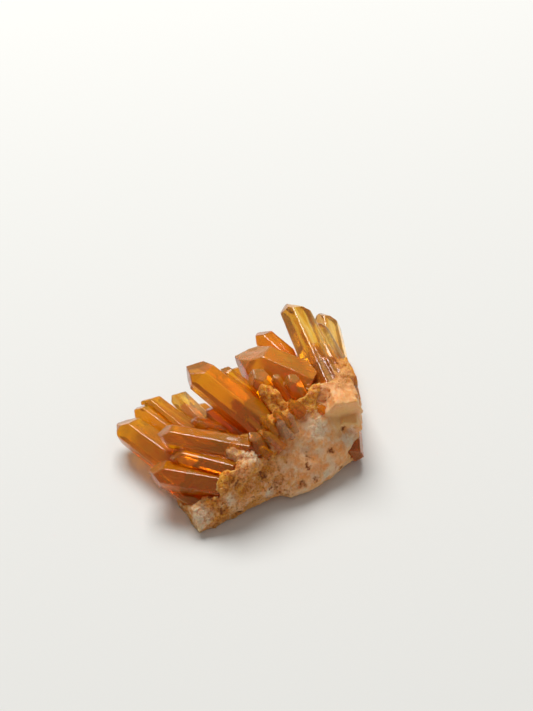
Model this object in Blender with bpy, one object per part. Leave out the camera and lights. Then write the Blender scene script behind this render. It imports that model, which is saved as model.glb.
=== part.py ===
"""A tangerine quartz cluster that lies on its side.

A broken base of milky quartz stands along the front and carries orange crystals, which fan out
behind it to the left and the back. The tables are in millimetres, in a frame whose origin is
near the middle of the base, and meshes are in metres with +Z up. The finished cluster rests on
z = 0 and is moved so that the origin is the bottom centre of its box.
"""

import math
import random
from dataclasses import dataclass

import bmesh
import bpy
from mathutils import Matrix, Vector, noise

MM = 0.001

# Clearance between two pieces that grew against each other
GAP = 0.3
# The angle from a quartz crystal's axis to the normal of a tip face
TIP_FACE_LEAN = math.radians(51.8)
# How much wider a crystal gets towards its foot, as the lean of its side faces
TAPER = math.radians(1.5)
# Half the side of the block that a crystal is cut from
BLOCK = 60.0
# Edges shorter than this are left out after cutting, in metres
SLIVER = 2e-6

# The base: a broken wall that runs from its left end, front foot first, along this heading
WALL_START = Vector((-7.2, -18.0, 0.0))
WALL_HEADING = math.radians(31.0)
# The places along the wall of its first and last outline, and how many there are between
WALL_REACH = (0.6, 35.3)
WALL_STATIONS = 40
RING_POINTS = 30
# Along the wall: distance from its left end, then the value there
LIP_DEPTH = ((-1, 0.8), (0, 0.0), (8, -0.5), (17, -1.2), (18.6, -2.7), (25, -3.3), (28.5, -3.0),
             (31.5, -1.7), (34, -1.6), (36, -0.4))
LIP_HEIGHT = ((0, 0.1), (8, 0.4), (17, 1.1), (25, 1.6), (31, 1.5), (36, 1.2))
CREST_HEIGHT = ((-1, 3.0), (0, 4.2), (3, 5.2), (5.5, 8.6), (9, 10.6), (13, 12.2), (18, 13.2),
                (24, 14.0), (31, 15.0), (34, 14.8), (36, 13.4))
CREST_DEPTH = ((-1, 2.0), (3, 1.4), (5.5, 0.7), (9, 1.6), (14, 3.0), (18, 4.6), (25, 5.8),
               (31, 6.6), (36, 7.4))
BACK_DEPTH = ((-1, 6.0), (0, 8.0), (6, 9.6), (14, 12.0), (24, 14.0), (32, 13.0), (36, 10.4))
# How far the rough surface departs from the smooth one, and over what distance it changes
ROUGHNESS = 0.34
ROUGH_SPAN = 2.1
LEDGE_HEIGHT = 0.5
LEDGE_SPAN = 5.5
# Lumps and pits of the wall, as (along, back, up, radius, height), with a height below 0 for a pit
FEATURES = (
    (23.3, 0.0, 7.6, 1.3, -1.0),
    (27.9, -1.0, 6.7, 1.0, -0.7),
    (23.4, -2.4, 3.6, 0.9, -0.7),
    (20.5, -2.2, 3.7, 0.8, -0.7),
    (16.1, -0.7, 4.4, 1.2, -0.9),
    (33.2, 1.5, 8.1, 1.5, -1.1),
    (12.4, 0.1, 7.2, 1.3, -0.8),
    (5.8, -0.6, 5.7, 1.1, -0.7),
    (31.2, -0.7, 5.0, 1.8, 0.8),
    (27.7, 3.4, 10.8, 2.4, 0.7),
    (11.6, 2.2, 10.2, 1.7, 1.2),
    (2.2, 0.3, 3.7, 1.2, 0.6),
)
# Crystals that are one with the base, as (tip, foot, width, twist)
BASE_CRYSTALS = (
    ((21.0, 9.6, 9.6), (20.6, 0.5, 7.5), 3.6, 5),
    ((4.9, -1.7, 14.0), (7.6, -5.2, 9.4), 2.6, 15),
    ((7.8, 0.5, 13.6), (10.3, -2.5, 9.1), 1.9, 0),
    ((5.6, 2.1, 14.4), (9.0, -1.7, 10.2), 1.9, 30),
)
# Small crystals that grow all over the top and the back of the base
NUBS = 30
NUB_WIDTH = (1.2, 2.4)
NUB_LENGTH = (4.2, 7.5)
# The way crystals point at the left and the right end of the wall, in degrees from +X
FAN = (166, 98)
SEED = 7

# Colour and roughness of each kind of quartz
FINISHES = {
    "amber_quartz": ((0.45, 0.14, 0.01), 0.12),
    "dark_amber_quartz": ((0.33, 0.07, 0.005), 0.12),
    "pale_amber_quartz": ((0.57, 0.27, 0.06), 0.16),
    "frosted_quartz": ((0.45, 0.13, 0.02), 0.4),
    "milky_quartz": ((0.42, 0.22, 0.12), 0.6),
}
# Nodes that are not plain amber
NODE_FINISH = {
    "matrix": "milky_quartz",
    "top_crystals": "frosted_quartz",
    "left_rear_crystal_3": "pale_amber_quartz",
    "right_rear_crystal": "pale_amber_quartz",
    "right_edge_crystal": "pale_amber_quartz",
    "front_left_crystal": "dark_amber_quartz",
    "bottom_left_crystal": "dark_amber_quartz",
    "left_rear_crystal_1": "dark_amber_quartz",
    "lower_crystal": "dark_amber_quartz",
    "small_front_crystal": "dark_amber_quartz",
}


@dataclass
class Crystal:
    """A six-sided quartz crystal, placed by the two ends of its axis."""

    tip: tuple
    foot: tuple
    # Distance of each side face from the axis, measured at the tip
    sides: tuple
    # Where each tip face meets the axis, from the tip on: below 0 is a larger face
    caps: tuple
    # Turn about the axis, in degrees. At 0 the first side faces up.
    twist: float = 0.0
    taper: float = TAPER


def plain(width, depth=1.0):
    """Side distances of a crystal with no face much larger than the rest."""
    half = width / 2
    return (half * depth, half, half * 1.04, half * depth, half * 0.97, half * 1.02)


def pointed(width, dominant=0, push=0.0):
    """Tip faces in turn large and small, with one of them pushed in to be larger still."""
    caps = [0.0, 0.3 * width] * 3
    caps[dominant] -= push * width
    return tuple(caps)


# Crystals by node. Each node is one solid, grown together from the crystals in its list, and
# gives way to the nodes above it where they meet.
CRYSTALS = {
    "central_crystal": [
        Crystal((-9.4, 7.6, 17.2), (4.6, -1.5, 10.5), plain(5.3), pointed(5.3, 0, 0.1), 12),
        Crystal((-3.2, 10.0, 13.6), (6.2, 3.0, 10.0), plain(2.6), pointed(2.6), 0),
    ],
    "left_crystal": [
        Crystal((-22.8, 4.6, 4.8), (-8.0, -8.9, 4.6), (2.7, 2.8, 2.5, 2.4, 2.4, 2.5),
                (-0.4, 0.8, 0.2, 1.4, 0.0, 0.6), 14),
    ],
    "right_tall_crystals": [
        Crystal((9.8, 29.4, 13.8), (19.3, 1.4, 10.3), plain(5.4),
                (-1.4, -2.6, 0.0, 1.2, 0.4, -0.4), 10),
        Crystal((13.7, 24.1, 12.8), (19.7, 7.6, 11.4), plain(4.4),
                (-0.4, -1.4, 0.2, 1.0, 0.0, 0.4), 24),
        Crystal((16.0, 14.6, 13.0), (20.0, 3.4, 11.2), plain(4.4), pointed(4.4), 20),
    ],
    "top_crystals": [
        Crystal((-0.8, 13.8, 14.0), (13.6, 7.6, 10.4), plain(6.4),
                (-1.2, 1.0, 0.2, 1.4, 0.0, 0.6), 14, math.radians(4)),
        Crystal((2.8, 6.6, 17.0), (6.4, 3.9, 11.0), plain(3.6), pointed(3.6), 10),
        Crystal((6.6, 6.3, 16.0), (9.7, 3.5, 12.0), plain(1.6), pointed(1.6), 10),
        Crystal((9.3, 5.3, 17.0), (12.1, 3.0, 12.0), plain(2.6), pointed(2.6), 10),
    ],
    "middle_crystals": [
        Crystal((-14.3, -3.9, 11.0), (2.5, -7.3, 10.0), plain(3.7), pointed(3.7), 10),
        Crystal((-11.6, -6.9, 9.0), (-0.2, -10.4, 8.5), plain(3.2), pointed(3.2), 10),
    ],
    "front_left_crystal": [
        Crystal((-15.9, -9.2, 6.8), (-2.4, -12.0, 6.2), plain(4.4), pointed(4.4), 14),
    ],
    "bottom_left_crystal": [
        Crystal((-13.4, -8.0, 3.0), (-5.6, -14.0, 3.0), plain(3.0), pointed(3.0), 10),
    ],
    "left_rear_crystal_1": [
        Crystal((-19.6, 9.3, 4.0), (-5.2, -5.7, 5.1), plain(4.2), pointed(4.2, 0, 0.1), 14),
    ],
    "left_rear_crystal_2": [
        Crystal((-18.3, 11.0, 4.5), (-4.2, -5.2, 6.2), plain(4.0),
                (-0.6, -0.2, 0.4, 1.2, 0.0, 0.8), 16),
    ],
    "left_rear_crystal_3": [
        Crystal((-12.2, 11.6, 5.0), (-1.4, -5.2, 7.6), plain(3.4), pointed(3.4), 10),
    ],
    "lower_crystal": [
        Crystal((-5.8, 4.0, 9.0), (2.4, -3.6, 9.0), plain(2.6), pointed(2.6), 10),
    ],
    "small_lower_crystal": [
        Crystal((-8.8, 1.0, 9.0), (0.4, -2.0, 9.0), plain(1.8), pointed(1.8), 10),
    ],
    "top_rear_crystal": [
        Crystal((3.5, 23.2, 10.2), (13.8, 11.2, 8.8), plain(4.0), pointed(4.0, 1, 0.2), 10),
    ],
    "right_rear_crystal": [
        Crystal((17.3, 32.0, 7.6), (19.5, 11.0, 6.5), plain(4.2),
                (-0.4, -1.6, -0.6, 0.8, 0.4, 1.0), 10),
    ],
    "right_edge_crystal": [
        Crystal((21.2, 15.0, 6.4), (21.3, -2.2, 2.8), plain(3.0), pointed(3.0), 10),
    ],
    "small_front_crystal": [
        Crystal((2.2, -5.4, 13.2), (4.4, -7.3, 9.8), plain(2.8), pointed(2.8), 10),
    ],
    # Crystals of the back and the underside, some of which the cluster rests on
    "back_crystal_1": [
        Crystal((-9.6, 11.0, 2.0), (1.0, 0.0, 3.2), plain(4.2), pointed(4.2), 20),
    ],
    "back_crystal_2": [
        Crystal((-0.5, 19.5, 4.4), (8.4, 4.0, 5.8), plain(4.4), pointed(4.4), 8),
    ],
    "back_crystal_3": [
        Crystal((6.6, 24.0, 1.9), (12.4, 8.0, 3.0), plain(4.0), pointed(4.0), 22),
    ],
    "back_crystal_4": [
        Crystal((14.2, 25.0, 1.8), (16.6, 8.6, 2.8), plain(3.8), pointed(3.8), 14),
    ],
}


def between(table, at):
    """A value read from a table of (place, value) pairs, in a straight line between two places."""
    if at <= table[0][0]:
        return table[0][1]
    for (start, low), (end, high) in zip(table, table[1:]):
        if at <= end:
            return low + (high - low) * (at - start) / (end - start)
    return table[-1][1]


def cut(bm, point, normal):
    """Takes off what lies beyond a plane, and closes the cut with one face."""
    geometry = bm.verts[:] + bm.edges[:] + bm.faces[:]
    result = bmesh.ops.bisect_plane(
        bm, geom=geometry, dist=1e-6, plane_co=point, plane_no=normal, clear_outer=True
    )
    rim = [item for item in result["geom_cut"] if isinstance(item, bmesh.types.BMEdge)]
    if rim:
        bmesh.ops.edgenet_fill(bm, edges=rim)


def crystal_planes(crystal, grow=0.0):
    """The planes that bound a crystal, each as a point and an outward normal, moved out by grow."""
    tip = Vector(crystal.tip)
    foot = Vector(crystal.foot)
    axis = (tip - foot).normalized()
    up = (Vector((0, 0, 1)) - axis * axis.z).normalized()
    across = axis.cross(up)
    planes = [(foot - axis * grow, -axis)]
    for index in range(6):
        turn = math.radians(crystal.twist + 60 * index)
        out = up * math.cos(turn) + across * math.sin(turn)
        side = (out + axis * math.tan(crystal.taper)).normalized()
        planes.append((tip + out * crystal.sides[index] + side * grow, side))
        cap = out * math.sin(TIP_FACE_LEAN) + axis * math.cos(TIP_FACE_LEAN)
        planes.append((tip + axis * crystal.caps[index] + cap * grow, cap))
    return planes


def crystal_mesh(crystal, grow=0.0):
    """A crystal cut from a block, plane by plane."""
    bm = bmesh.new()
    bmesh.ops.create_cube(bm, size=2 * BLOCK)
    middle = (Vector(crystal.tip) + Vector(crystal.foot)) / 2
    bmesh.ops.translate(bm, verts=bm.verts[:], vec=middle)
    for point, normal in crystal_planes(crystal, grow):
        cut(bm, point, normal)
    return finished(bm)


def wall_frame():
    """Turns (along the wall, back from it, up) into the cluster's own x, y and z."""
    return Matrix.Translation(WALL_START) @ Matrix.Rotation(WALL_HEADING, 4, "Z")


def ring(along):
    """The base's outline across the wall at one place, as (back, up) points, from the floor on."""
    lip = between(LIP_DEPTH, along)
    crest = between(CREST_DEPTH, along)
    back = between(BACK_DEPTH, along)
    height = between(CREST_HEIGHT, along)
    corners = [
        (lip + 3.4, -0.6),
        (lip, between(LIP_HEIGHT, along)),
        (lip * 0.7 + crest * 0.3 - 0.9, 0.45 * height),
        (crest - 0.9, 0.86 * height),
        (crest + 0.8, height),
        ((crest + back) / 2 + 0.4, height - 1.8),
        (back - 0.8, 0.7 * height),
        (back, 0.35 * height),
        (back - 0.8, -0.6),
    ]
    return resampled(corners, RING_POINTS)


def resampled(corners, count):
    """Evenly spaced points along a closed outline."""
    closed = [Vector(corner) for corner in corners + corners[:1]]
    lengths = [(b - a).length for a, b in zip(closed, closed[1:])]
    total = sum(lengths)
    points = []
    for step in range(count):
        left = total * step / count
        for start, end, length in zip(closed, closed[1:], lengths):
            if left <= length:
                points.append(start.lerp(end, left / length))
                break
            left -= length
    return points


def rough(point):
    """How far the broken surface is moved at a point, as a vector."""
    fine = noise.noise_vector(point / ROUGH_SPAN) * ROUGHNESS
    ledge = noise.noise_vector(point / LEDGE_SPAN + Vector((7.3, 1.9, 4.1))) * LEDGE_HEIGHT
    return fine + ledge


def feature(point, place):
    """How far the lumps and pits move a point of the wall's front."""
    front = place.to_3x3() @ Vector((0, -1, 0))
    moved = Vector()
    for along, back, up, radius, height in FEATURES:
        distance = (point - place @ Vector((along, back, up))).length
        moved += front * height * math.exp(-((distance / radius) ** 2))
    return moved


def base_mesh():
    """The broken base, as rings of points across the wall that are joined and roughened."""
    bm = bmesh.new()
    place = wall_frame()
    rings = []
    for station in range(WALL_STATIONS):
        share = station / (WALL_STATIONS - 1)
        along = WALL_REACH[0] + (WALL_REACH[1] - WALL_REACH[0]) * share
        rings.append([bm.verts.new(place @ Vector((along, back, up))) for back, up in ring(along)])
    for first, second in zip(rings, rings[1:]):
        for index in range(RING_POINTS):
            after = (index + 1) % RING_POINTS
            bm.faces.new((first[index], first[after], second[after], second[index]))
    for end in (rings[0], rings[-1]):
        centre = bm.verts.new(sum((vert.co for vert in end), Vector()) / RING_POINTS)
        for index in range(RING_POINTS):
            bm.faces.new((end[index], end[(index + 1) % RING_POINTS], centre))
    for vert in bm.verts:
        vert.co += rough(vert.co) + feature(vert.co, place)
    bmesh.ops.triangulate(bm, faces=bm.faces[:])
    return finished(bm)


def finished(bm):
    """A mesh in metres from a bmesh in millimetres."""
    bmesh.ops.scale(bm, vec=(MM, MM, MM), verts=bm.verts[:])
    bmesh.ops.recalc_face_normals(bm, faces=bm.faces[:])
    if bm.calc_volume(signed=True) < 0:
        bmesh.ops.reverse_faces(bm, faces=bm.faces[:])
    mesh = bpy.data.meshes.new("shape")
    bm.to_mesh(mesh)
    bm.free()
    return mesh


def add_object(name, mesh):
    obj = bpy.data.objects.new(name, mesh)
    bpy.context.scene.collection.objects.link(obj)
    return obj


def combined(mesh, other, operation):
    """The union or the difference of two closed meshes, as a new mesh."""
    body = add_object("body", mesh)
    tool = add_object("tool", other)
    modifier = body.modifiers.new("combine", "BOOLEAN")
    modifier.operation = operation
    modifier.object = tool
    evaluated = body.evaluated_get(bpy.context.evaluated_depsgraph_get())
    result = bpy.data.meshes.new_from_object(evaluated)
    bpy.data.objects.remove(body)
    bpy.data.objects.remove(tool)
    return result


def box_of(mesh):
    corners = [vert.co for vert in mesh.vertices]
    low = Vector(min(co[axis] for co in corners) for axis in range(3))
    high = Vector(max(co[axis] for co in corners) for axis in range(3))
    return low, high


def apart(mesh, other):
    """Whether the boxes of two meshes keep clear of each other."""
    low, high = box_of(mesh)
    other_low, other_high = box_of(other)
    return any(low[axis] > other_high[axis] or high[axis] < other_low[axis] for axis in range(3))


def without(mesh, cutters):
    """A mesh less each of the cutters that it meets."""
    for cutter in cutters:
        if not apart(mesh, cutter):
            mesh = combined(mesh, cutter, "DIFFERENCE")
    return mesh


def joined(meshes):
    """One mesh for several that overlap."""
    result = meshes[0]
    for mesh in meshes[1:]:
        result = combined(result, mesh, "UNION")
    return result


def ground():
    """A block that ends at z = 0, to cut off what would lie below."""
    bm = bmesh.new()
    bmesh.ops.create_cube(bm, size=2 * BLOCK)
    bmesh.ops.translate(bm, verts=bm.verts[:], vec=(0, 0, -BLOCK))
    return finished(bm)


def islands(bm):
    """The separate pieces of a bmesh, as lists of faces."""
    left = set(bm.faces)
    found = []
    while left:
        piece = []
        queue = [left.pop()]
        while queue:
            face = queue.pop()
            piece.append(face)
            near = {other for edge in face.edges for other in edge.link_faces}
            queue += near & left
            left -= near
        found.append(piece)
    return found


def tidied(mesh):
    """The largest piece of a mesh, in triangles, without the slivers that cutting leaves."""
    bm = bmesh.new()
    bm.from_mesh(mesh)
    bmesh.ops.remove_doubles(bm, verts=bm.verts[:], dist=SLIVER)
    bmesh.ops.dissolve_degenerate(bm, edges=bm.edges[:], dist=SLIVER)
    bmesh.ops.triangulate(bm, faces=bm.faces[:])
    pieces = sorted(islands(bm), key=lambda piece: sum(face.calc_area() for face in piece))
    for piece in pieces[:-1]:
        bmesh.ops.delete(bm, geom=piece, context="FACES")
    bm.to_mesh(mesh)
    bm.free()
    return mesh


def nubs():
    """Small crystals that stand on the base, turned the way the large ones near them point."""
    draw = random.Random(SEED)
    place = wall_frame()
    found = []
    for _ in range(NUBS):
        along = draw.uniform(17, 34)
        low = between(CREST_DEPTH, along) + 0.5
        back = draw.uniform(low, between(BACK_DEPTH, along) - 0.5)
        share = (back - low) / (between(BACK_DEPTH, along) - low)
        height = between(CREST_HEIGHT, along) * (1 - 0.55 * share ** 2)
        foot = place @ Vector((along, back, height - 2.0))
        heading = math.radians(FAN[0] + (FAN[1] - FAN[0]) * along / 36 + draw.uniform(-22, 22))
        rise = math.radians(draw.uniform(10, 50) - 40 * share)
        way = Vector((math.cos(heading), math.sin(heading), 0)) * math.cos(rise)
        way.z = math.sin(rise)
        width = draw.uniform(*NUB_WIDTH)
        tip = foot + way * draw.uniform(*NUB_LENGTH)
        crystal = Crystal(tip, foot, plain(width), pointed(width), draw.uniform(0, 60))
        found.append(crystal)
    return found


def base_crystals():
    """The crystals that are one with the base."""
    named = [
        Crystal(tip, foot, plain(width), pointed(width), twist)
        for tip, foot, width, twist in BASE_CRYSTALS
    ]
    return named + nubs()


def build():
    """The solids by name, each clear of the ones before it."""
    noise.seed_set(SEED)
    below = ground()
    solids = {}
    taken = []
    for name, crystals in CRYSTALS.items():
        mesh = joined([crystal_mesh(crystal) for crystal in crystals])
        solids[name] = tidied(without(mesh, taken + [below]))
        taken += [crystal_mesh(crystal, GAP) for crystal in crystals]
    base = joined([base_mesh()] + [crystal_mesh(crystal) for crystal in base_crystals()])
    solids["matrix"] = tidied(without(base, taken + [below]))
    return solids


def finish(slot):
    """The material of one kind of quartz, made the first time that it is asked for."""
    if slot in bpy.data.materials:
        return bpy.data.materials[slot]
    colour, roughness = FINISHES[slot]
    material = bpy.data.materials.new(slot)
    material.use_nodes = True
    shader = material.node_tree.nodes["Principled BSDF"]
    shader.inputs["Base Color"].default_value = (*colour, 1.0)
    shader.inputs["Roughness"].default_value = roughness
    shader.inputs["Metallic"].default_value = 0.0
    return material


def resting_point(solids):
    """The bottom centre of the box round all the solids."""
    boxes = [box_of(mesh) for mesh in solids.values()]
    low = Vector(min(box[0][axis] for box in boxes) for axis in range(3))
    high = Vector(max(box[1][axis] for box in boxes) for axis in range(3))
    return Vector(((low.x + high.x) / 2, (low.y + high.y) / 2, low.z))


def place(name, mesh, centre, cluster):
    """Adds a solid as an object whose own origin is where it grows from."""
    root = Vector(CRYSTALS[name][0].foot) * MM if name in CRYSTALS else WALL_START * MM
    mesh.transform(Matrix.Translation(-root))
    obj = add_object(name, mesh)
    obj.location = root - centre
    obj.parent = cluster
    mesh.materials.clear()
    mesh.materials.append(finish(NODE_FINISH.get(name, "amber_quartz")))


def main():
    for obj in list(bpy.data.objects):
        bpy.data.objects.remove(obj)
    solids = build()
    centre = resting_point(solids)
    cluster = add_object("cluster", None)
    for name, mesh in solids.items():
        place(name, mesh, centre, cluster)


if __name__ == "__main__":
    main()
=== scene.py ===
"""The looks of the tangerine quartz cluster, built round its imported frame.

Lengths in the tables are millimetres, and what Blender gets is metres. Places are given in the
frame that the solids were drawn in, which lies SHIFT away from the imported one.
"""

import itertools
import math

import bmesh
import bpy
import numpy as np
from mathutils import Matrix, Vector
from mathutils.bvhtree import BVHTree


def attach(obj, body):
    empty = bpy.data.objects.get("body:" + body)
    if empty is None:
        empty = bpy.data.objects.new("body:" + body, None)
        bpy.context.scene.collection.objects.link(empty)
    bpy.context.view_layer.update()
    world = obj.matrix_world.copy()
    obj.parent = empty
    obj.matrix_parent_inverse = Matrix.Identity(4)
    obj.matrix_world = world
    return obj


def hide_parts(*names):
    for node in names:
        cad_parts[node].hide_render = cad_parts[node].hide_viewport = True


MM = 0.001
SEED = 11
SHIFT = np.array((0.4, 6.58, 0.0))

# The photograph's view: long lens, looking down at 45 degrees
CAMERA_AT = Vector((5.0, -159.9, 180.4)) * MM
CAMERA_TILT = math.radians(45)
LENS = 63.3
SENSOR = 36.0

QUARTZ_IOR = 1.54
# Spacing of the fine meshes that carry the carved surface
CRYSTAL_STEP = 0.17
BASE_STEP = 0.2

# How far the faces of a crystal are uneven, and how high its growth steps are
UNEVEN = 0.045
GROWTH_STEP = 0.03
# Chips in its edges: how much the surface turns at an edge, how many points of the fine mesh there
# are to a chip, its radius, and how far out its middle lies as a share of the radius
SHARP = 0.02
POINTS_PER_CHIP = 4000
CHIP_RADII = (0.6, 1.4)
CHIP_OUT = (0.84, 0.95)

# The base's own frame: where its left end is, and the way it runs from there
WALL_START = np.array((-7.2, -18.0, 0.0))
WALL_HEADING = math.radians(31.0)

# Each crystal as (tip, foot, width), by node
AXES = {
    "central_crystal": (
        ((-9.4, 7.6, 17.2), (4.6, -1.5, 10.5), 5.3),
        ((-3.2, 10.0, 13.6), (6.2, 3.0, 10.0), 2.6),
    ),
    "left_crystal": (((-22.8, 4.6, 4.8), (-8.0, -8.9, 4.6), 5.2),),
    "right_tall_crystals": (
        ((9.8, 29.4, 13.8), (19.3, 1.4, 10.3), 5.4),
        ((13.7, 24.1, 12.8), (19.7, 7.6, 11.4), 4.4),
        ((16.0, 14.6, 13.0), (20.0, 3.4, 11.2), 4.4),
    ),
    "top_crystals": (
        ((-0.8, 13.8, 14.0), (13.6, 7.6, 10.4), 6.4),
        ((2.8, 6.6, 17.0), (6.4, 3.9, 11.0), 3.6),
        ((6.6, 6.3, 16.0), (9.7, 3.5, 12.0), 1.6),
        ((9.3, 5.3, 17.0), (12.1, 3.0, 12.0), 2.6),
    ),
    "middle_crystals": (
        ((-14.3, -3.9, 11.0), (2.5, -7.3, 10.0), 3.7),
        ((-11.6, -6.9, 9.0), (-0.2, -10.4, 8.5), 3.2),
    ),
    "front_left_crystal": (((-15.9, -9.2, 6.8), (-2.4, -12.0, 6.2), 4.4),),
    "bottom_left_crystal": (((-13.4, -8.0, 3.0), (-5.6, -14.0, 3.0), 3.0),),
    "left_rear_crystal_1": (((-19.6, 9.3, 4.0), (-5.2, -5.7, 5.1), 4.2),),
    "left_rear_crystal_2": (((-18.3, 11.0, 4.5), (-4.2, -5.2, 6.2), 4.0),),
    "left_rear_crystal_3": (((-12.2, 11.6, 5.0), (-1.4, -5.2, 7.6), 3.4),),
    "lower_crystal": (((-5.8, 4.0, 9.0), (2.4, -3.6, 9.0), 2.6),),
    "small_lower_crystal": (((-8.8, 1.0, 9.0), (0.4, -2.0, 9.0), 1.8),),
    "top_rear_crystal": (((3.5, 23.2, 10.2), (13.8, 11.2, 8.8), 4.0),),
    "right_rear_crystal": (((17.3, 32.0, 7.6), (19.5, 11.0, 6.5), 4.2),),
    "right_edge_crystal": (((21.2, 15.0, 6.4), (21.3, -2.2, 2.8), 3.0),),
    "small_front_crystal": (((2.2, -5.4, 13.2), (4.4, -7.3, 9.8), 2.8),),
    "back_crystal_1": (((-9.6, 11.0, 2.0), (1.0, 0.0, 3.2), 4.2),),
    "back_crystal_2": (((-0.5, 19.5, 4.4), (8.4, 4.0, 5.8), 4.4),),
    "back_crystal_3": (((6.6, 24.0, 1.9), (12.4, 8.0, 3.0), 4.0),),
    "back_crystal_4": (((14.2, 25.0, 1.8), (16.6, 8.6, 2.8), 3.8),),
}

# What each kind of crystal takes from light per metre, for red, green and blue, its tint at the
# tip and the foot, how much light it lets in and how rough it is
GLASSES = {
    "golden": ((1, 70, 1100), (1.0, 0.53, 0.006), (1.0, 0.4, 0.003), 0.75, 0.085),
    "honey": ((2, 80, 1100), (1.0, 0.5, 0.006), (1.0, 0.38, 0.003), 0.75, 0.085),
    "brown": ((5, 120, 1200), (1.0, 0.42, 0.005), (1.0, 0.33, 0.003), 0.75, 0.085),
    "tall": ((2, 40, 380), (1.0, 0.56, 0.05), (1.0, 0.78, 0.34), 0.8, 0.1),
    "pale": ((2, 34, 150), (1.0, 0.62, 0.12), (1.0, 0.7, 0.26), 0.84, 0.1),
    "frosted": ((1, 60, 900), (1.0, 0.52, 0.01), (1.0, 0.4, 0.004), 0.66, 0.12),
}
GLASS_OF = {
    "central_crystal": "golden",
    "left_crystal": "golden",
    "left_rear_crystal_1": "honey",
    "left_rear_crystal_2": "golden",
    "left_rear_crystal_3": "tall",
    "middle_crystals": "honey",
    "front_left_crystal": "brown",
    "bottom_left_crystal": "honey",
    "lower_crystal": "brown",
    "small_lower_crystal": "brown",
    "top_crystals": "frosted",
    "top_rear_crystal": "brown",
    "right_tall_crystals": "tall",
    "right_rear_crystal": "pale",
    "right_edge_crystal": "honey",
    "small_front_crystal": "brown",
    "back_crystal_1": "honey",
    "back_crystal_2": "honey",
    "back_crystal_3": "honey",
    "back_crystal_4": "golden",
}

# How strongly a crystal is speckled with rust
SPECKLED = {"top_crystals": 0.35, "right_tall_crystals": 0.8}
# How strongly a crystal is banded lengthwise in pale and brown
BANDED = {"right_tall_crystals": 0.85, "right_rear_crystal": 0.6, "left_rear_crystal_3": 0.5}

# Marks on the base as (along it, back, up, radius), and for pits a depth after that
PITS = (
    (8.5, 0.4, 8.3, 1.1, 0.5), (16.2, 1.8, 9.3, 0.5, 0.5), (13.8, 2.5, 11.0, 0.35, 0.35),
    (34.3, 1.6, 8.0, 0.7, 0.6), (32.1, 1.4, 8.2, 0.7, 0.4), (27.9, -0.9, 6.8, 0.7, 0.4),
    (23.4, -0.4, 7.3, 0.8, 0.4), (22.6, -1.4, 6.2, 0.6, 0.3), (23.5, -2.5, 3.4, 0.9, 0.3),
    (20.9, -2.2, 3.4, 0.6, 0.4), (8.8, -0.6, 1.1, 0.35, 0.4), (16.6, -0.5, 5.7, 0.4, 0.3),
    (17.7, -0.9, 5.8, 0.35, 0.3), (15.6, -0.8, 4.0, 0.6, 0.35), (4.1, 1.4, 6.6, 0.8, 0.4),
    (11.6, -0.8, 1.3, 0.3, 0.2), (13.4, -1.0, 0.6, 0.3, 0.2),
)
RUST = (
    (8.3, 0.4, 8.4, 1.3), (16.2, 1.8, 9.3, 0.6), (13.8, 2.5, 11.0, 0.45), (34.3, 1.6, 8.0, 0.9),
    (32.1, 1.4, 8.2, 0.8), (27.9, -0.9, 6.8, 0.9), (23.4, -0.4, 7.3, 1.0), (22.6, -1.4, 6.2, 0.8),
    (23.5, -2.5, 3.4, 0.9), (20.9, -2.2, 3.4, 0.8), (8.8, -0.6, 1.1, 0.5), (16.6, -0.5, 5.7, 0.6),
    (17.7, -0.9, 5.8, 0.5), (15.8, -0.8, 4.0, 1.1), (4.1, 1.4, 6.6, 1.3), (5.0, -0.8, 3.9, 1.3),
    (13.9, 0.2, 7.3, 1.3), (29.4, -2.3, 2.5, 0.8), (11.6, -0.8, 1.3, 0.4), (13.4, -1.0, 0.6, 0.4),
)
STAINS = (
    (14.5, 0.9, 8.2, 1.5), (7.6, 1.0, 9.2, 1.6), (4.0, 1.2, 6.0, 1.6), (-0.1, 2.0, 3.9, 0.8),
    (31.0, 3.5, 12.5, 2.0), (18.7, 3.7, 11.3, 1.8), (9.4, -0.2, 6.6, 1.6), (5.4, -0.6, 2.6, 1.4),
    (17.6, 1.6, 9.6, 1.2), (13.0, 0.4, 8.8, 1.4),
)
CRUSTS = (
    (32.4, -0.1, 6.5, 1.7), (33.6, 0.6, 7.3, 1.2), (1.2, 0.7, 3.7, 2.2), (12.9, 2.6, 11.3, 1.4),
    (27.2, 2.4, 10.0, 2.2), (14.8, -0.8, 3.3, 1.0), (7.3, -0.4, 6.0, 1.2), (21.6, 6.1, 13.6, 0.9),
    (18.8, 5.6, 13.3, 1.1), (11.4, 3.0, 10.6, 1.5), (25.6, -2.6, 3.2, 1.0), (16.5, 2.6, 10.8, 1.2),
)
# Along the base: the distance from its left end, and how far back its top edge is there
CREST_DEPTH = (
    (-1, 2.0), (3, 1.4), (5.5, 0.7), (9, 1.6), (14, 3.0), (18, 4.6), (25, 5.8), (31, 6.6), (36, 7.4),
)
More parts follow.
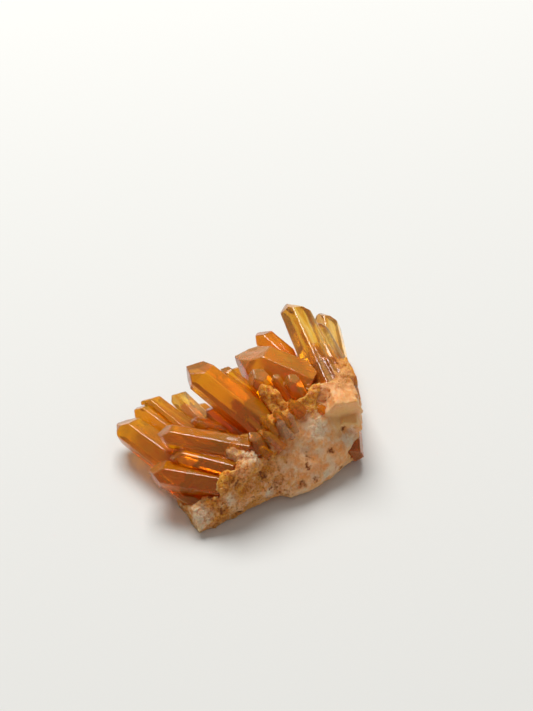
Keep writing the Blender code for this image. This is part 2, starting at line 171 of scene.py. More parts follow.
# Small crystals along the top edge, as (tip, foot, width)
CREST = (
    ((5.3, -4.9, 13.2), (8.4, -6.7, 10.2), 2.2),
    ((4.6, -3.3, 14.6), (7.3, -4.7, 11.8), 2.0),
    ((7.3, -1.7, 15.2), (9.3, -2.8, 12.0), 1.5),
    ((9.7, 1.1, 15.4), (11.9, -0.3, 12.2), 2.0),
    ((12.5, 7.1, 14.6), (14.1, 2.8, 11.8), 2.0),
    ((13.7, 2.8, 13.8), (15.6, 0.9, 11.2), 2.2),
    ((21.3, 10.2, 12.0), (22.1, 5.8, 9.6), 1.5),
    ((19.8, 11.2, 12.6), (20.8, 7.0, 11.0), 1.3),
    ((1.7, -1.2, 13.6), (5.0, -4.3, 11.6), 1.9),
    ((0.5, -5.8, 12.6), (3.2, -7.7, 10.8), 1.6),
    ((10.8, 3.7, 15.0), (12.6, 2.0, 12.2), 1.5),
    ((3.9, -7.0, 12.6), (6.0, -8.2, 10.0), 1.6),
    ((7.4, -3.4, 14.6), (9.0, -5.0, 11.2), 1.7),
    ((9.6, -1.6, 14.4), (10.6, -3.6, 11.0), 1.5),
    ((8.8, -3.6, 13.6), (10.2, -4.6, 10.8), 1.3),
)
# How many of them, at the end of the list, are milky
MILKY_CREST = 3
# How they vary: how far a tip is moved along each axis, the width as a share of the table's, how
# far below the tip the shoulder is in widths, how far out each corner is, and how much it slants
TIP_MOVES = (-0.8, 0.6)
WIDTHS = (0.8, 1.35)
SHOULDERS = (0.5, 0.75)
CORNERS = (0.85, 1.1)
SLANTS = (-0.1, 0.1)
CREST_BEVEL = 0.03
# Rough lumps of tiny crystals, as (middle, radius)
LUMPS = (((-0.4, -7.9, 10.6), 1.6), ((0.7, -8.8, 10.6), 1.3), ((2.2, -9.1, 10.3), 1.4))
# The smooth broken face at the foot of the right-hand crystals
BREAK_AT = np.array((19.3, 1.6, 10.3))
BREAK_RADIUS = 3.0
# How far the base and the foot of the right-hand crystals are swollen, so that they join
BASE_SWELL = 0.1
FOOT_SWELL = 0.2
# How far along the base it is porous, and how slowly that ends
POROUS_TO = 20
POROUS_FADE = 5
# How far from a crystal the base is still stained by it
STAIN_REACH = 1.3
# How far up from its foot the right-hand crystal is milky, and how far round its axis
MILKY_REACH = 11.0
MILKY_RADIUS = 5.0
# Where its clear part starts, as a share of that reach
CLEAR_FROM = 0.2

# How fast the patterns in a crystal change along its axis and across it, per millimetre
EVEN = (1.0, 1.0, 1.0)
STREAK_SCALE = (0.35, 1.1, 1.1)
CLOUD_SCALE = (0.5, 0.6, 0.6)
BAND_SCALE = (0.05, 0.55, 0.55)
LINE_SCALE = (5.5, 0.25, 0.25)
# How high the finest relief of the crystals and of the base is
CRYSTAL_RELIEF = 0.016
BASE_RELIEF = 0.14

# Tints of a crystal's marks, and the painted reflection laid pinkish brown on its tip faces
SPECK = (0.4, 0.09, 0.01)
PALE_BAND = (1.0, 0.9, 0.52)
BROWN_BAND = (0.66, 0.26, 0.02)
BROWN_SIDE = (0.74, 0.3, 0.02)
MILKY_TINT = (1.0, 0.74, 0.44)
# Painted reflection: the pinkish brown of the sky as mirrored in the tip faces
TIP_FACE_REFLECTION = (0.86, 0.42, 0.12)

# Colours of the base
STONE = {
    "tan": (0.95, 0.38, 0.11),
    "light tan": (1.0, 0.54, 0.25),
    "milk": (1.0, 0.67, 0.44),
    "cloud": (1.0, 0.66, 0.4),
    "fibre": (0.52, 0.17, 0.03),
    "grain": (0.42, 0.12, 0.02),
    "honey": (0.78, 0.3, 0.025),
    "rim": (1.0, 0.7, 0.44),
    "vein": (0.4, 0.11, 0.008),
    "pore": (0.3, 0.08, 0.01),
    "broken face": (1.0, 0.58, 0.24),
    "flank": (0.5, 0.19, 0.025),
    "crust": (1.0, 0.73, 0.5),
    "dark amber": (0.66, 0.18, 0.003),
    "amber": (0.95, 0.42, 0.035),
    "amber grain": (0.3, 0.06, 0.003),
    "amber rim": (1.0, 0.6, 0.2),
    "rust halo": (0.46, 0.14, 0.012),
    "rust": (0.2, 0.035, 0.004),
}

FLOOR_COLOUR = (0.8, 0.815, 0.8)
FLOOR_SIZE = 2.0
WORLD_COLOUR = (1.0, 0.96, 0.92, 1)
WORLD_STRENGTH = 0.26
# The one light, in metres and watts
WINDOW_AT = (-0.15, 0.66, 0.92)
WINDOW_AIM = (0, 0, 0.01)
WINDOW_SIZE = (0.7, 0.6)
WINDOW_POWER = 14.2
WINDOW_COLOUR = (1.0, 0.98, 0.96)
# How many cells of random values there are along each axis before they repeat
CELLS = 32


class Tree:
    """A material whose nodes are added one call at a time."""

    def __init__(self, name):
        self.material = bpy.data.materials.new(name)
        self.material.use_nodes = True
        self.nodes = self.material.node_tree.nodes
        self.links = self.material.node_tree.links
        self.nodes.clear()
        self.output = self.nodes.new("ShaderNodeOutputMaterial")

    def put(self, socket, value):
        if isinstance(value, bpy.types.NodeSocket):
            self.links.new(value, socket)
        else:
            socket.default_value = value

    def add(self, kind, settings=None, **inputs):
        """A node, with its named inputs set to values or linked to other nodes' outputs."""
        node = self.nodes.new("ShaderNode" + kind)
        for key, value in (settings or {}).items():
            setattr(node, key, value)
        for key, value in inputs.items():
            self.put(node.inputs[key.replace("_", " ")], value)
        return node

    def maths(self, operation, first, second=0.0, clamp=False):
        node = self.add("Math", {"operation": operation, "use_clamp": clamp})
        self.put(node.inputs[0], first)
        self.put(node.inputs[1], second)
        return node.outputs[0]

    def times(self, first, second):
        return self.maths("MULTIPLY", first, second)

    def plus(self, first, second):
        return self.maths("ADD", first, second)

    def mix(self, share, first, second):
        """A colour between two, as far towards the second as the share says."""
        node = self.add("Mix", {"data_type": "RGBA"})
        self.put(node.inputs[0], share)
        for socket, colour in ((node.inputs[6], first), (node.inputs[7], second)):
            self.put(socket, colour if isinstance(colour, bpy.types.NodeSocket) else (*colour, 1))
        return node.outputs[2]

    def over(self, below, share, strength, above):
        """A colour laid over another: the share says where, and the strength how fully."""
        return self.mix(self.times(share, strength), below, above)

    def value(self, name):
        """A number that the mesh carries at each point."""
        return self.add("Attribute", {"attribute_name": name}).outputs["Fac"]

    def vector(self, name, scale):
        """A vector that the mesh carries at each point, scaled along each of its axes."""
        source = self.add("Attribute", {"attribute_name": name}).outputs["Vector"]
        return self.add("Mapping", Vector=source, Scale=scale).outputs[0]

    def noise(self, at, scale, detail=3.0, roughness=0.6):
        node = self.add("TexNoise", Vector=at, Scale=scale, Detail=detail, Roughness=roughness)
        return node.outputs["Fac"]

    def step(self, source, low, high):
        """0 below low, 1 above high and smooth between."""
        node = self.add("MapRange", {"interpolation_type": "SMOOTHSTEP"}, Value=source)
        node.inputs["From Min"].default_value = low
        node.inputs["From Max"].default_value = high
        return node.outputs[0]

    def ramp(self, source, low, high, first, last):
        """A value that goes evenly from first to last as the source goes from low to high."""
        node = self.add("MapRange", Value=source)
        node.inputs["From Min"].default_value = low
        node.inputs["From Max"].default_value = high
        node.inputs["To Min"].default_value = first
        node.inputs["To Max"].default_value = last
        return node.outputs[0]

    def finish(self, surface, volume=None):
        self.links.new(surface, self.output.inputs["Surface"])
        if volume:
            self.links.new(volume, self.output.inputs["Volume"])
        return self.material


def glass_tint(tree, clouds, cap, tip, foot):
    """Colour from tip to foot, with streaks, specks and bands, and a painted reflection: a
    pinkish-brown tint on the tip faces.
    """
    wander = tree.times(tree.maths("SUBTRACT", clouds, 0.5), 1.4)
    depth = tree.maths("ADD", tree.value("depth"), wander, True)
    tint = tree.mix(depth, tip, foot)
    streaks = tree.noise(tree.vector("grain", STREAK_SCALE), 1.0, 4)
    pale = (1.0, tip[1] * 0.5 + 0.4, tip[2] * 0.7 + 0.06)
    tint = tree.over(tint, tree.step(streaks, 0.56, 0.74), 0.55, pale)
    dark = (foot[0] * 0.92, foot[1] * 0.66, foot[2] * 0.5)
    tint = tree.over(tint, tree.step(streaks, 0.44, 0.28), 0.8, dark)
    specks = tree.noise(tree.vector("grain", EVEN), 2.6, 2)
    tint = tree.over(tint, tree.step(specks, 0.7, 0.74), tree.value("speckled"), SPECK)
    bands = tree.noise(tree.vector("grain", BAND_SCALE), 1.0, 2)
    banded = tree.value("banded")
    rightwards = tree.add("SeparateXYZ", Vector=tree.vector("grain", EVEN)).outputs["Y"]
    tint = tree.over(tint, tree.step(bands, 0.48, 0.51), banded, PALE_BAND)
    tint = tree.over(tint, tree.step(bands, 0.45, 0.42), banded, BROWN_BAND)
    tint = tree.over(tint, tree.step(rightwards, -0.6, -1.3), banded, BROWN_SIDE)
    tint = tree.over(tint, tree.value("milky"), 0.85, MILKY_TINT)
    # Painted reflection: the tip faces are tinted pinkish brown as if they mirrored the sky
    return tree.over(tint, cap, 0.6, TIP_FACE_REFLECTION)


def glass(name, takes, tip, foot, clear, rough):
    """Quartz that is seen through, cloudy in places, with fine lines across its side faces."""
    tree = Tree(name)
    clouds = tree.noise(tree.vector("grain", CLOUD_SCALE), 1.0, 3)
    cap = tree.maths("SUBTRACT", 1.0, tree.value("side"))
    lines = tree.noise(tree.vector("grain", LINE_SCALE), 1.0, 3)
    fine = tree.noise(tree.vector("grain", EVEN), 3.5, 4)
    height = tree.plus(tree.times(lines, tree.value("side")), tree.times(fine, 0.6))
    bump = tree.add("Bump", Height=height, Strength=1.0, Distance=CRYSTAL_RELIEF * MM)
    haze = tree.ramp(clouds, 0.35, 0.7, rough * 0.5, rough * 2.0)
    shader = tree.add(
        "BsdfPrincipled",
        Base_Color=glass_tint(tree, clouds, cap, tip, foot),
        Roughness=tree.plus(haze, tree.times(cap, 0.1)),
        IOR=QUARTZ_IOR,
        Transmission_Weight=clear,
        Normal=bump.outputs[0],
    )
    density = max(takes)
    volume = tree.add(
        "VolumeAbsorption",
        Color=(*(1 - value / density for value in takes), 1),
        Density=float(density),
    )
    return tree.finish(shader.outputs[0], volume.outputs[0])


class Patterns:
    """The noises and cells that the base's colour and relief share."""

    def __init__(self, tree):
        at = tree.vector("place", EVEN)
        self.coarse = tree.noise(at, 0.45, 3)
        self.middle = tree.noise(at, 1.3, 4)
        self.fine = tree.noise(at, 4.5, 4)
        self.clouds = tree.noise(at, 0.28, 2)
        self.fibres = tree.noise(tree.vector("wall", (1.8, 1.8, 0.35)), 1.0, 4)
        self.grains = tree.add("TexVoronoi", Vector=at, Scale=3.2).outputs["Distance"]
        mosaic = tree.add("TexVoronoi", Vector=at, Scale=0.75)
        self.facet = tree.add("SeparateColor", Color=mosaic.outputs["Color"]).outputs[0]
        edges = tree.add("TexVoronoi", {"feature": "DISTANCE_TO_EDGE"}, Vector=at, Scale=0.95)
        self.rims = edges.outputs["Distance"]
        self.porous = tree.value("porous")
        self.pores = tree.times(tree.step(tree.noise(at, 2.2, 3), 0.6, 0.66), self.porous)
        self.stain = tree.times(tree.value("stain"), tree.step(self.middle, 0.22, 0.42))


def quartz_colour(tree, seen):
    """Tan and milky quartz, with honey cells, veins and pores in its porous part."""
    calm = tree.plus(0.3, tree.times(seen.porous, 0.4))
    colour = tree.mix(tree.step(seen.coarse, 0.36, 0.64), STONE["tan"], STONE["light tan"])
    milk = tree.times(tree.step(seen.clouds, 0.46, 0.66), tree.maths("SUBTRACT", 1.0, seen.porous))
    colour = tree.over(colour, milk, 0.8, STONE["milk"])
    colour = tree.over(colour, tree.step(seen.middle, 0.48, 0.72), calm, STONE["cloud"])
    colour = tree.over(colour, tree.step(seen.fibres, 0.5, 0.3), calm, STONE["fibre"])
    colour = tree.over(colour, tree.step(seen.fine, 0.44, 0.3), calm, STONE["grain"])
    honey = tree.times(seen.porous, tree.step(seen.facet, 0.35, 0.6))
    colour = tree.over(colour, honey, 0.75, STONE["honey"])
    lines = tree.times(tree.step(seen.rims, 0.09, 0.02), tree.step(seen.middle, 0.45, 0.6))
    colour = tree.over(colour, lines, 0.5, STONE["rim"])
    veins = tree.times(tree.step(seen.rims, 0.16, 0.03), tree.step(seen.middle, 0.5, 0.36))
    veins = tree.times(veins, tree.plus(seen.porous, 0.15))
    colour = tree.over(colour, veins, 0.75, STONE["vein"])
    return tree.over(colour, seen.pores, 0.6, STONE["pore"])


def amber_colour(tree, seen):
    """The orange of the places that crystals grow out of."""
    amber = tree.mix(tree.step(seen.middle, 0.4, 0.62), STONE["dark amber"], STONE["amber"])
    amber = tree.over(amber, tree.step(seen.fine, 0.5, 0.32), 0.8, STONE["amber grain"])
    return tree.over(amber, tree.step(seen.rims, 0.07, 0.0), 0.5, STONE["amber rim"])


def marked_colour(tree, seen):
    """The quartz with its broken face, rough flank, crusts, stains and rust."""
    colour = tree.mix(tree.value("peach"), quartz_colour(tree, seen), STONE["broken face"])
    flank = tree.times(tree.value("flank"), tree.step(seen.fine, 0.62, 0.42))
    colour = tree.mix(flank, colour, STONE["flank"])
    patchy = tree.step(tree.plus(seen.middle, tree.times(seen.coarse, 0.6)), 0.5, 0.85)
    colour = tree.over(colour, tree.value("crust"), patchy, STONE["crust"])
    colour = tree.over(colour, seen.stain, 0.95, amber_colour(tree, seen))
    frayed = tree.times(tree.maths("SUBTRACT", seen.fine, 0.5), 2.2)
    spots = tree.plus(tree.value("rust"), frayed)
    colour = tree.over(colour, tree.step(spots, 0.1, 0.7), 0.7, STONE["rust halo"])
    return tree.over(colour, tree.step(spots, 0.66, 1.0), 0.9, STONE["rust"])


def stone():
    """Milky broken quartz, stained orange, speckled with rust and crusted white in places."""
    tree = Tree("milky_quartz")
    seen = Patterns(tree)
    height = tree.plus(seen.fine, tree.times(seen.grains, 0.5))
    height = tree.plus(height, tree.times(seen.fibres, 0.8))
    height = tree.plus(height, tree.times(tree.step(seen.rims, 0.1, 0.0), 0.5))
    height = tree.maths("SUBTRACT", height, seen.pores)
    coarse = tree.maths("MAXIMUM", seen.porous, tree.plus(tree.value("crust"), seen.stain))
    height = tree.times(height, tree.plus(0.25, tree.times(coarse, 0.75)))
    bump = tree.add("Bump", Height=height, Strength=1.0, Distance=BASE_RELIEF * MM)
    shader = tree.add(
        "BsdfPrincipled",
        Base_Color=marked_colour(tree, seen),
        Roughness=tree.ramp(seen.grains, 0.0, 0.8, 0.28, 0.6),
        IOR=QUARTZ_IOR,
        Subsurface_Weight=0.75,
        Subsurface_Radius=(1.0, 0.7, 0.5),
        Subsurface_Scale=1.5 * MM,
        Normal=bump.outputs[0],
        Specular_IOR_Level=0.2,
    )
    return tree.finish(shader.outputs[0])


class Scatter:
    """Random values in space that are the same at each run, one cell to a unit of length."""

    def __init__(self, seed):
        draw = np.random.default_rng(seed)
        self.values = draw.uniform(-1, 1, (CELLS ** 3, 6))

    def at(self, cell):
        place = cell % CELLS
        return self.values[(place[:, 0] * CELLS + place[:, 1]) * CELLS + place[:, 2]]

    def smooth(self, points):
        """A smooth value from -1 to 1 at each point."""
        cell = np.floor(points).astype(int)
        part = points - cell
        part = part * part * (3 - 2 * part)
        total = np.zeros(len(points))
        for step in itertools.product((0, 1), repeat=3):
            share = np.prod(np.where(step, part, 1 - part), axis=1)
            total += share * self.at(cell + step)[:, 0]
        return total

    def facets(self, points):
        """Height of a surface broken into small flat faces, each tilted its own way."""
        cell = np.floor(points).astype(int)
        nearest = np.full(len(points), np.inf)
        height = np.zeros(len(points))
        for step in itertools.product((-1, 0, 1), repeat=3):
            drawn = self.at(cell + step)
            offset = points - (cell + step + 0.5 + 0.4 * drawn[:, :3])
            distance = (offset ** 2).sum(1)
            closer = distance < nearest
            nearest[closer] = distance[closer]
            height[closer] = (offset * drawn[:, 3:]).sum(1)[closer]
        return height


def placed(name, data):
    """A new object in the scene."""
    obj = bpy.data.objects.new(name, data)
    bpy.context.scene.collection.objects.link(obj)
    return obj


def fine_copy(name, bm, step):
    """A finely and evenly meshed object from a closed mesh, or from several that overlap."""
    copy = bpy.data.meshes.new(name)
    bm.to_mesh(copy)
    bm.free()
    obj = placed(name, copy)
    modifier = obj.modifiers.new("fine", "REMESH")
    modifier.mode = "VOXEL"
    modifier.voxel_size = step * MM
    evaluated = obj.evaluated_get(bpy.context.evaluated_depsgraph_get())
    obj.data = bpy.data.meshes.new_from_object(evaluated)
    obj.modifiers.clear()
    obj.data.name = name
    obj.data.shade_smooth()
    return obj


def node_bmesh(node):
    """A node's solid, closed."""
    bm = bmesh.new()
    bm.from_mesh(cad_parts[node].data)
    bmesh.ops.remove_doubles(bm, verts=bm.verts[:], dist=1e-6)
    return bm


def values_of(items, key):
    """One vector for each of a mesh's points, in a table."""
    found = np.empty(len(items) * 3, np.float32)
    items.foreach_get(key, found)
    return found.reshape(-1, 3).astype(float)


def drawn_points(mesh):
    """A mesh's points in millimetres, in the frame of the tables."""
    return values_of(mesh.vertices, "co") / MM + SHIFT


def move_to(mesh, points):
    mesh.vertices.foreach_set("co", ((points - SHIFT) * MM).astype(np.float32).ravel())
    mesh.update()


def write(mesh, name, values):
    kind, key = ("FLOAT", "value") if values.ndim == 1 else ("FLOAT_VECTOR", "vector")
    attribute = mesh.attributes.new(name, kind, "POINT")
    attribute.data.foreach_set(key, values.astype(np.float32).ravel())


def dress(obj, node, material):
    """Gives a piece its material, hangs it from the root and hides the node it stands in for."""
    obj.data.materials.append(material)
    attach(obj, "root")
    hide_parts(node)


def directions(tip, foot):
    """A crystal's own directions, which are along it to its tip, across it and up, and its length."""
    length = np.linalg.norm(tip - foot)
    axis = (tip - foot) / length
    across = np.cross(axis, (0, 0, 1))
    across /= np.linalg.norm(across)
    return axis, across, np.cross(across, axis), length


def grown(points, crystals):
    """For each point: its crystal's axis, its share of the way down, and its place from the tip."""
    best = np.full(len(points), np.inf)
    axes = np.zeros((len(points), 3))
    depth = np.zeros(len(points))
    grain = np.zeros((len(points), 3))
    for tip, foot, width in crystals:
        tip, foot = np.array(tip), np.array(foot)
        axis, across, up, length = directions(tip, foot)
        along = (tip - points) @ axis
        side = (points - tip) @ across
        rise = (points - tip) @ up
        distance = np.hypot(side, rise) / width + np.maximum(0, -along - 0.3 * width)
        closer = distance < best
        best[closer] = distance[closer]
        axes[closer] = axis
        depth[closer] = (along / length)[closer]
        grain[closer] = np.stack((along, side, rise), 1)[closer]
    return axes, depth, grain


def sharpness(mesh, normals):
    """How much the surface turns at each point: about 0 on a flat face, more on an edge."""
    ends = np.empty(len(mesh.edges) * 2, np.int32)
    mesh.edges.foreach_get("vertices", ends)
    ends = ends.reshape(-1, 2)
    turn = 1 - (normals[ends[:, 0]] * normals[ends[:, 1]]).sum(1)
    found = np.zeros(len(normals))
    np.maximum.at(found, ends[:, 0], turn)
    np.maximum.at(found, ends[:, 1], turn)
    return found


def chip(points, moved, normals, edges, draw):
    """Knocks small round chips out of a crystal's edges, in the points that have been moved."""
    for index in draw.choice(edges, 2 + len(points) // POINTS_PER_CHIP):
        radius = draw.uniform(*CHIP_RADII)
        centre = points[index] + normals[index] * radius * draw.uniform(*CHIP_OUT)
        offset = moved - centre
        distance = np.linalg.norm(offset, axis=1)
        inside = distance < radius
        moved[inside] = centre + offset[inside] * (radius / distance[inside])[:, None]


def crystal(node, number):
    """A crystal with growth steps across its sides, slightly uneven faces and chipped edges."""
    bm = node_bmesh(node)
    if node == "right_tall_crystals":
        bm = cut_across(bm, CLEAR_FROM * MILKY_REACH, "clear_inner")
    obj = fine_copy("quartz_" + node, bm, CRYSTAL_STEP)
    points = drawn_points(obj.data)
    normals = values_of(obj.data.vertex_normals, "vector")
    axes, depth, grain = grown(points, AXES[node])
    side = 1 - np.clip(np.abs((normals * axes).sum(1)) * 3, 0, 1)
    uneven = scatter.smooth(grain * (0.35, 0.75, 0.75) + number * 5.3)
    steps = scatter.smooth(grain * (1.7, 0.25, 0.25) + number * 3.1)
    lift = UNEVEN * uneven + GROWTH_STEP * np.round(steps * 3) / 3 * side
    moved = points + normals * lift[:, None]
    draw = np.random.default_rng(SEED + number)
    chip(points, moved, normals, np.flatnonzero(sharpness(obj.data, normals) > SHARP), draw)
    moved[:, 2] = np.maximum(moved[:, 2], 0.0)
    move_to(obj.data, moved)
    write(obj.data, "depth", np.clip(depth, 0, 1))
    write(obj.data, "grain", grain)
    write(obj.data, "side", side)
    write(obj.data, "speckled", np.full(len(points), SPECKLED.get(node, 0.0)))
    write(obj.data, "banded", np.full(len(points), BANDED.get(node, 0.0)))
    dress(obj, node, glasses[GLASS_OF[node]])


def on_wall(points):
    """Places in the base's own frame: along it, back from its front and up."""
    place = points - WALL_START
    ahead = np.array((math.cos(WALL_HEADING), math.sin(WALL_HEADING), 0))
    back = np.array((-math.sin(WALL_HEADING), math.cos(WALL_HEADING), 0))
    return np.stack((place @ ahead, place @ back, place[:, 2]), 1)


def near(wall, marks, ragged):
    """1 in the middle of the nearest mark and 0 outside all of them, with a ragged edge."""
    share = np.zeros(len(wall))
    for along, back, up, radius in marks:
        distance = np.linalg.norm(wall - (along, back, up), axis=1) / radius
        share = np.maximum(share, 1.4 - distance + 0.5 * ragged)
    return np.clip(share, 0, 1)


def tall_crystal():
    """The foot of the tallest right-hand crystal, and the way it points."""
    tip, foot, _ = AXES["right_tall_crystals"][0]
    tip, foot = np.array(tip), np.array(foot)
    return foot, directions(tip, foot)[0]


def cut_across(bm, reach, side):
    """Leaves only one side of a cut through the right-hand crystals, so far up from their foot."""
    foot, axis = tall_crystal()
    point = (foot + axis * reach - SHIFT) * MM
    everything = bm.verts[:] + bm.edges[:] + bm.faces[:]
    cut = bmesh.ops.bisect_plane(bm, geom=everything, plane_co=point, plane_no=axis, **{side: True})
    rim = [item for item in cut["geom_cut"] if isinstance(item, bmesh.types.BMEdge)]
    bmesh.ops.edgenet_fill(bm, edges=rim)
    bmesh.ops.recalc_face_normals(bm, faces=bm.faces[:])
    return bm


def swollen(bm, amount):
    """Moves every point of a mesh outwards."""
    bm.normal_update()
    for vert in bm.verts:
        vert.co += vert.normal * amount * MM
    return bm


def base_solid():
    """The base, the milky foot of the right-hand crystals and the rough lumps, in one fine mesh."""
    bm = swollen(node_bmesh("matrix"), BASE_SWELL)
    foot = cut_across(node_bmesh("right_tall_crystals"), MILKY_REACH, "clear_outer")
    foot = swollen(foot, FOOT_SWELL)
    holder = bpy.data.meshes.new("foot")
    foot.to_mesh(holder)
    foot.free()
    bm.from_mesh(holder)
    for middle, radius in LUMPS:
        place = Matrix.Translation((np.array(middle) - SHIFT) * MM)
        bmesh.ops.create_icosphere(bm, subdivisions=2, radius=radius * MM, matrix=place)
    return fine_copy("quartz_base", bm, BASE_STEP)


class Marks:
    """What the base is like at each of its points, before it is carved."""

    def __init__(self, points):
        self.wall = wall = on_wall(points)
        self.ragged = ragged = scatter.smooth(points * 1.6)
        self.fibres = scatter.smooth(wall * (2.2, 2.2, 0.5) + 9.0)
        self.face = np.clip(1.6 - np.linalg.norm(points - BREAK_AT, axis=1) / BREAK_RADIUS, 0, 1)
        lumps = [(*on_wall(np.array([middle]))[0], radius + 0.3) for middle, radius in LUMPS]
        self.lumpy = near(wall, lumps, ragged)
        self.crust = np.maximum(near(wall, CRUSTS, ragged), 0.8 * self.lumpy)
        frayed = 1.6 * scatter.smooth(points * 2.6 + 5.0) - 0.65
        self.rust = near(wall, RUST, frayed) * (1 - self.lumpy)
        self.porous = np.clip((POROUS_TO - wall[:, 0]) / POROUS_FADE + ragged, 0, 1)
        foot, axis = tall_crystal()
        self.climb = (points - foot) @ axis
        self.rightwards = (points - foot) @ (axis[1], -axis[0], 0)
        self.beside = np.linalg.norm(np.cross(points - foot, axis), axis=1) < MILKY_RADIUS


def relief(points, marks):
    """How far outwards the base is carved at each point."""
    lift = 0.06 + 0.14 * scatter.smooth(points * 0.7)
    lift = lift + 0.16 * scatter.facets(points * 0.5) * (1 - marks.face)
    fine = (0.03 + 0.13 * marks.porous) * scatter.facets(points * 1.3 + 3.0) + 0.05 * marks.fibres
    lift += fine * (1 - 0.85 * marks.face)
    crusted = marks.crust * 0.2 * scatter.facets(points * 2.2)
    lift += crusted + marks.lumpy * 0.3 * scatter.facets(points * 1.1)
    lift += marks.rust * 0.10 * scatter.smooth(points * 3.4)
    for along, back, up, radius, depth in PITS:
        reach = 0.75 * radius * (1 + 0.5 * marks.ragged)
        distance = np.linalg.norm(marks.wall - (along, back, up), axis=1) / reach
        lift -= 0.7 * depth * np.exp(-distance ** 2)
    bare = marks.climb - 0.35 * MILKY_REACH - 1.2 * marks.rightwards
    fade = np.clip(bare / (0.5 * MILKY_REACH) + 0.3 * marks.ragged, 0, 1)
    return lift - np.where(marks.beside & (marks.climb > 0), fade * 0.55, 0)


def stained(points, marks):
    """How orange the base is: in its stains, along its top edge and where crystals grow."""
    wall, ragged = marks.wall, marks.ragged
    crest_at, crest_back = zip(*CREST_DEPTH)
    behind = wall[:, 1] - np.interp(wall[:, 0], crest_at, crest_back)
    top = np.clip(behind + 0.8 + 0.6 * ragged, 0, 1) * np.clip((wall[:, 2] - 7) / 2, 0, 1)
    top = np.maximum(top, np.clip(wall[:, 2] - 11.4 + 0.6 * ragged, 0, 1))
    milky = np.clip(1.2 - marks.climb / MILKY_REACH, 0, 1) * marks.beside
    stain = np.maximum.reduce((near(wall, STAINS, ragged), crystal_stain(points), top))
    return stain * (1 - 0.85 * milky) * (1 - marks.lumpy)


def base():
    """The broken base, with the milky foot of the right-hand crystals, carved and marked."""
    obj = base_solid()
    points = drawn_points(obj.data)
    normals = values_of(obj.data.vertex_normals, "vector")
    marks = Marks(points)
    points = points + normals * relief(points, marks)[:, None]
    points[:, 2] = np.maximum(points[:, 2], 0.0)
    move_to(obj.data, points)
    right = np.clip((marks.wall[:, 0] - 32.5 + marks.ragged) / 2, 0, 1)
    flank = np.clip(marks.climb / 3 - 0.8 + 0.5 * marks.ragged, 0, 1) * marks.beside
    write(obj.data, "place", points)
    write(obj.data, "wall", marks.wall)
    write(obj.data, "rust", marks.rust)
    write(obj.data, "crust", marks.crust)
    write(obj.data, "peach", marks.face)
    write(obj.data, "porous", marks.porous)
    write(obj.data, "flank", flank * np.clip(0.35 + right, 0, 1))
    write(obj.data, "stain", stained(points, marks))
    dress(obj, "matrix", stone())


def crystal_stain(points):
    """How orange the base is from the crystals that grow out of it."""
    trees = [BVHTree.FromBMesh(node_bmesh(node)) for node in AXES]
    stain = np.zeros(len(points))
    reach = STAIN_REACH * MM
    for index, place in enumerate((points - SHIFT) * MM):
        nearest = reach
        for tree in trees:
            hit = tree.find_nearest(place, nearest)
            if hit[0] is not None:
                nearest = hit[3]
        stain[index] = 1 - nearest / reach
    return 0.8 * stain


def small_crystal(bm, draw, tip, foot, width):
    """Adds a six-sided crystal with a pointed tip, a little irregular."""
    tip, foot = np.array(tip) + draw.uniform(*TIP_MOVES, 3), np.array(foot)
    width *= draw.uniform(*WIDTHS)
    axis, across, up, _ = directions(tip, foot)
    turn = draw.uniform(0, math.pi / 3)
    shoulder = tip - axis * width * draw.uniform(*SHOULDERS)
    rings = ([], [])
    for index in range(6):
        angle = turn + index * math.pi / 3
        out = (across * math.cos(angle) + up * math.sin(angle)) * width / 2
        out = out * draw.uniform(*CORNERS)
        for ring, centre, size in zip(rings, (foot, shoulder), (1.1, 1.0)):
            slant = axis * draw.uniform(*SLANTS) * width * (centre is shoulder)
            ring.append(bm.verts.new((centre + out * size + slant - SHIFT) * MM))
    lean = (across * draw.uniform(*SLANTS) + up * draw.uniform(*SLANTS)) * width
    apex = bm.verts.new((tip + lean - SHIFT) * MM)
    for index in range(6):
        after = (index + 1) % 6
        bm.faces.new((rings[0][index], rings[0][after], rings[1][after], rings[1][index]))
        bm.faces.new((rings[1][index], rings[1][after], apex))
    bm.faces.new(rings[0])


def crest():
    """Small crystals that stand between the large ones along the top edge of the base."""
    bm = bmesh.new()
    draw = np.random.default_rng(SEED)
    for tip, foot, width in CREST:
        small_crystal(bm, draw, tip, foot, width)
    bmesh.ops.triangulate(bm, faces=bm.faces[:])
    bmesh.ops.bevel(bm, geom=bm.edges[:], offset=CREST_BEVEL * MM, segments=1, affect="EDGES")
    bmesh.ops.recalc_face_normals(bm, faces=bm.faces[:])
    mesh = bpy.data.meshes.new("crest_crystals")
    bm.to_mesh(mesh)
    bm.free()
    obj = placed("crest_crystals", mesh)
    points = drawn_points(mesh)
    _, depth, grain = grown(points, CREST)
    each = len(points) // len(CREST)
    milky = np.arange(len(points)) >= len(points) - MILKY_CREST * each
    write(mesh, "milky", 1.0 * milky)
    write(mesh, "depth", np.clip(depth, 0, 1))
    write(mesh, "grain", grain)
    write(mesh, "side", np.ones(len(points)))
    mesh.materials.append(glasses["honey"])
    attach(obj, "root")


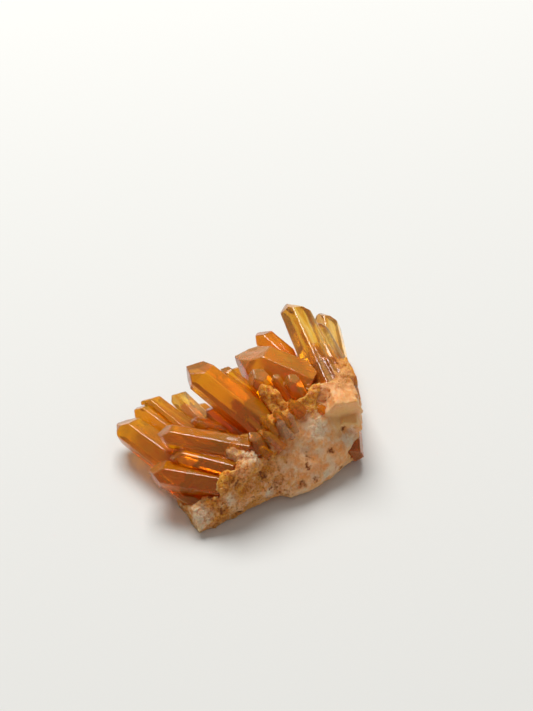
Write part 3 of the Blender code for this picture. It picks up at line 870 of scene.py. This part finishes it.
def floor():
    bm = bmesh.new()
    bmesh.ops.create_grid(bm, x_segments=1, y_segments=1, size=FLOOR_SIZE)
    mesh = bpy.data.meshes.new("floor")
    bm.to_mesh(mesh)
    bm.free()
    obj = placed("floor", mesh)
    tree = Tree("floor")
    shader = tree.add("BsdfPrincipled", Base_Color=(*FLOOR_COLOUR, 1), Roughness=0.9)
    mesh.materials.append(tree.finish(shader.outputs[0]))


def area_light(name, at, aim, size, power, colour):
    light = bpy.data.lights.new(name, "AREA")
    light.shape = "RECTANGLE"
    light.size, light.size_y = size
    light.energy = power
    light.color = colour
    obj = placed(name, light)
    obj.location = at
    obj.rotation_euler = (Vector(aim) - Vector(at)).to_track_quat("-Z", "Y").to_euler()


def lights():
    world = bpy.data.worlds.new("studio")
    world.use_nodes = True
    background = world.node_tree.nodes["Background"]
    background.inputs["Color"].default_value = WORLD_COLOUR
    background.inputs["Strength"].default_value = WORLD_STRENGTH
    bpy.context.scene.world = world
    area_light("window", WINDOW_AT, WINDOW_AIM, WINDOW_SIZE, WINDOW_POWER, WINDOW_COLOUR)


def camera():
    data = bpy.data.cameras.new("camera")
    data.lens = LENS
    data.sensor_width = SENSOR
    data.clip_start = 0.01
    obj = placed("camera", data)
    obj.location = CAMERA_AT
    obj.rotation_euler = (CAMERA_TILT, 0, 0)
    bpy.context.scene.camera = obj


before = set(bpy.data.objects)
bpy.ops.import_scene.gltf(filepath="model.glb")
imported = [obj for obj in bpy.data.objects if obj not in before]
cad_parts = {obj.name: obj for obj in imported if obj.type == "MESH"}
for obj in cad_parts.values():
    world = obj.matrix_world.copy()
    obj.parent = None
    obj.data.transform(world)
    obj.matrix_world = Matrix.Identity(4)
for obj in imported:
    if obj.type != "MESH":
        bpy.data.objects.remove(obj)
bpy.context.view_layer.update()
bpy.context.scene.view_settings.view_transform = "Standard"
scatter = Scatter(SEED)
glasses = {name: glass(name, *look) for name, look in GLASSES.items()}
for order, node_name in enumerate(AXES):
    crystal(node_name, order)
base()
crest()
floor()
lights()
camera()
